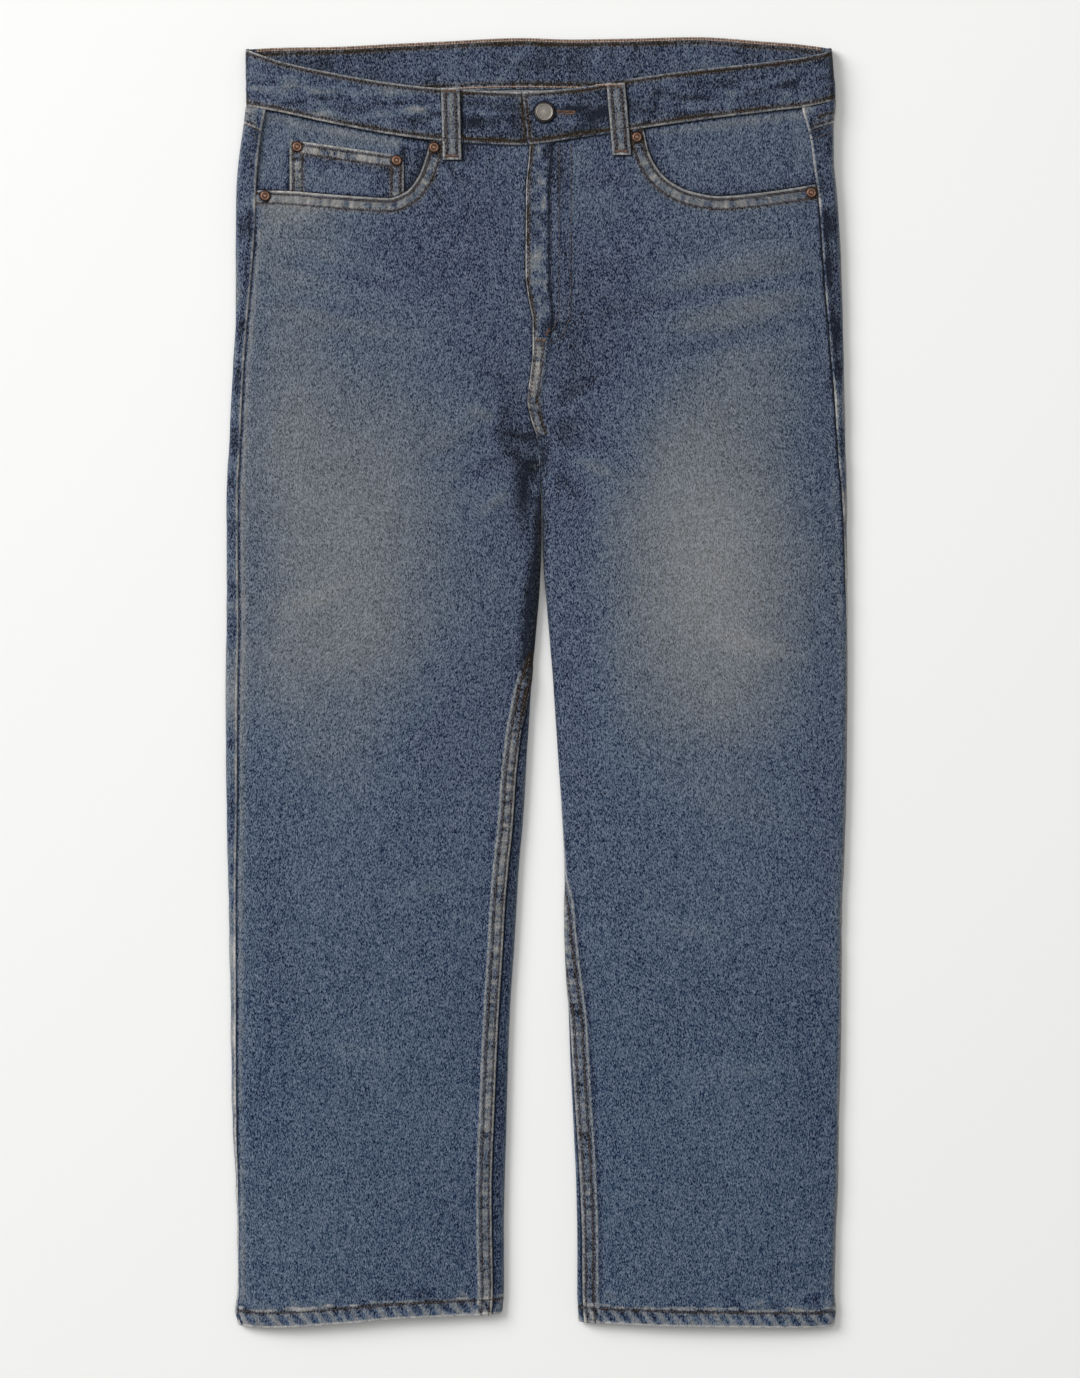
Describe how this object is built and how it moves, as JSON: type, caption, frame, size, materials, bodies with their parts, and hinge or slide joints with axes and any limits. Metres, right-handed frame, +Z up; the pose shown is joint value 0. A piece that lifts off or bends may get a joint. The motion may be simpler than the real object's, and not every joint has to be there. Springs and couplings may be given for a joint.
{
  "type": "straight leg jeans",
  "caption": "Straight leg denim jeans laid flat on their back, with a folded waistband, belt loops, curved front pockets, a coin pocket and felled inseams.",
  "frame": {"origin": "middle of the flat outline, on the surface that the jeans lie on", "axes": "+Y towards the waist, +Z up from the surface, +X towards the wearer's left leg"},
  "size_m": [0.525, 1.0836, 0.0227],
  "materials": {
    "denim": "faded indigo twill",
    "denim_band": "faded indigo twill",
    "copper": "aged copper",
    "button_metal": "antique nickel"
  },
  "bodies": {
    "root": {"front_right": "denim", "front_left": "denim", "back_right": "denim", "back_left": "denim", "yoke_right": "denim", "yoke_left": "denim", "pocket_facing_right": "denim", "pocket_facing_left": "denim", "coin_pocket": "denim", "back_pocket_right": "denim", "back_pocket_left": "denim", "waistband": "denim_band", "belt_loop_front_right": "denim_band", "belt_loop_front_left": "denim_band", "belt_loop_back_side_right": "denim_band", "belt_loop_back_side_left": "denim_band", "belt_loop_back_centre": "denim_band", "button": "button_metal", "rivet_pocket_right_inner": "copper", "rivet_pocket_right_outer": "copper", "rivet_pocket_left_inner": "copper", "rivet_pocket_left_outer": "copper", "rivet_coin_outer": "copper", "rivet_coin_inner": "copper"}
  },
  "joints": []
}
